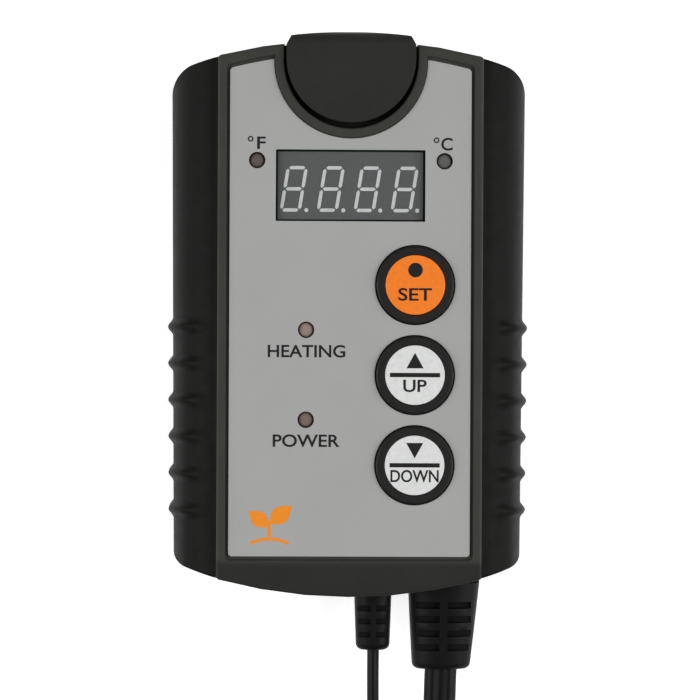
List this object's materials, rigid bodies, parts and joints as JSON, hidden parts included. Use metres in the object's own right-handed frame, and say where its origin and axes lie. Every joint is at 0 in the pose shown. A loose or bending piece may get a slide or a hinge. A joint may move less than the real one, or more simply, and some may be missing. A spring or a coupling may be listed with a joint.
{
  "type": "heat mat thermostat controller",
  "caption": "Thermostat controller for a seedling heat mat: flat two-part case with display, press buttons, flip-up hook, mains cord and probe cord.",
  "frame": {"origin": "centre of the box round the case, hook and strain reliefs, on the back plane that it lies on", "axes": "+Z out of the face, +Y towards the hook end, +X to the right as the face is read"},
  "size_m": [0.0864, 0.289, 0.0349],
  "materials": {
    "board_green": "solder mask",
    "brass": "bright",
    "button_black": "satin",
    "capacitor_blue": "shrink sleeve",
    "capacitor_yellow": "moulded box",
    "case_black": "fine-textured ABS, smooth satin on the side shoulders",
    "chip_black": "moulded epoxy",
    "connector_white": "moulded nylon",
    "cord_black": "extruded PVC sheath",
    "core_steel": "varnished laminations",
    "disc_orange": "satin",
    "disc_white": "satin",
    "display_face": "smooth resin",
    "face_grey": "printed satin film",
    "fuse_glass": "clear tube",
    "hook_black": "fine-textured",
    "lamp_grey": "diffusing resin",
    "lamp_red": "tinted diffusing resin",
    "plug_black": "moulded PVC",
    "probe_cord_black": "extruded PVC sheath",
    "relay_blue": "moulded",
    "relief_rubber": "moulded soft PVC",
    "segment_white": "diffusing resin",
    "steel": "plated",
    "stem_black": "moulded",
    "switch_metal": "plated",
    "terminal_green": "moulded",
    "tie_black": "hook-and-loop tape",
    "varistor_blue": "dipped epoxy",
    "winding_tape": "polyester tape",
    "wire_black": "PVC insulation",
    "wire_red": "PVC insulation"
  },
  "bodies": {
    "case": {"front_cover": "case_black", "back_cover": "case_black", "face_plate": "face_grey", "hinge_pin": "steel", "switch_bodies": "switch_metal", "display_module": "display_face", "display_segments": "segment_white", "fahrenheit_led": "lamp_red", "celsius_led": "lamp_grey", "heating_led": "lamp_red", "power_led": "lamp_red", "display_board": "board_green", "microcontroller": "chip_black", "resonator": "steel", "board_link": "chip_black", "power_board": "board_green", "relay": "relay_blue", "transformer_core": "core_steel", "transformer_winding": "winding_tape", "film_capacitor": "capacitor_yellow", "filter_capacitor": "capacitor_blue", "varistor": "varistor_blue", "fuse": "fuse_glass", "fuse_clips": "brass", "rectifier_diodes": "chip_black", "voltage_regulator": "chip_black", "mains_terminals": "terminal_green", "terminal_screws": "steel", "probe_connector": "connector_white", "mains_wires": "wire_red", "probe_wires": "wire_black", "power_board_screws": "steel", "display_board_screws": "steel", "case_screws": "steel", "mains_strain_relief": "relief_rubber", "probe_strain_relief": "relief_rubber", "power_cord": "cord_black", "power_cord_coil": "cord_black", "power_coil_ties": "tie_black", "power_plug": "plug_black", "plug_blades": "brass", "outlet_contacts": "brass", "probe_cord": "probe_cord_black", "probe_cord_coil": "probe_cord_black", "probe_coil_ties": "tie_black", "probe_tip": "steel"},
    "hook": {"hanging_hook": "hook_black"},
    "set_button": {"set_button_cap": "button_black", "set_button_disc": "disc_orange", "set_switch_stem": "stem_black"},
    "up_button": {"up_button_cap": "button_black", "up_button_disc": "disc_white", "up_switch_stem": "stem_black"},
    "down_button": {"down_button_cap": "button_black", "down_button_disc": "disc_white", "down_switch_stem": "stem_black"}
  },
  "joints": [
    {"name": "hook_swing", "type": "hinge", "parent": "case", "child": "hook", "pos_m": [0, 0.06285, 0.006], "axis": [-1, 0, 0], "range_deg": [0, 90]},
    {"name": "set_button_press", "type": "slide", "parent": "case", "child": "set_button", "axis": [0, 0, -1], "range_m": [0, 0.0005], "stiffness_N_per_m": 1000},
    {"name": "up_button_press", "type": "slide", "parent": "case", "child": "up_button", "axis": [0, 0, -1], "range_m": [0, 0.0005], "stiffness_N_per_m": 1000},
    {"name": "down_button_press", "type": "slide", "parent": "case", "child": "down_button", "axis": [0, 0, -1], "range_m": [0, 0.0005], "stiffness_N_per_m": 1000}
  ]
}
